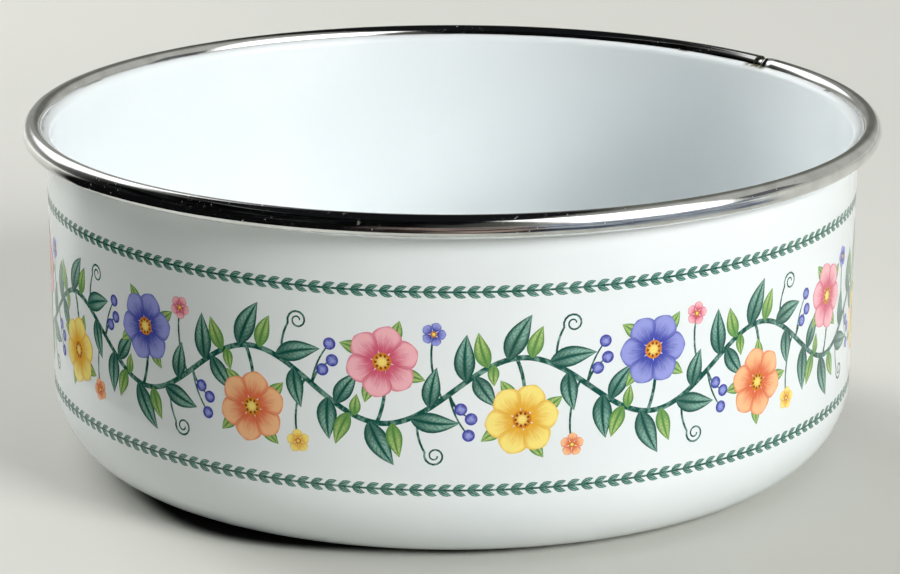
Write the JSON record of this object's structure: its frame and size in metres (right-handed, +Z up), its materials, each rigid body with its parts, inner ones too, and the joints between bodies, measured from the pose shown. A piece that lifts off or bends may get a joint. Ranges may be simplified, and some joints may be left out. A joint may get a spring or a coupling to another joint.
{
  "type": "enamelled steel bowl",
  "caption": "Straight-sided round bowl of enamelled pressed steel with a rounded foot and a stainless steel band rolled over its lip; holds and mixes food.",
  "frame": {"origin": "centre of the base, on the plane that the standing ring rests on", "axes": "+Z up along the bowl's axis; -Y faces the viewer of the picture and +X is to the right"},
  "size_m": [0.2198, 0.2198, 0.0883],
  "materials": {
    "enamel_outside": "gloss",
    "pressed_steel": "satin",
    "enamel_inside": "gloss",
    "polished_rim": "polished"
  },
  "bodies": {
    "root": {"enamel_outside": "enamel_outside", "steel_shell": "pressed_steel", "enamel_inside": "enamel_inside", "rim_band": "polished_rim"}
  },
  "joints": []
}
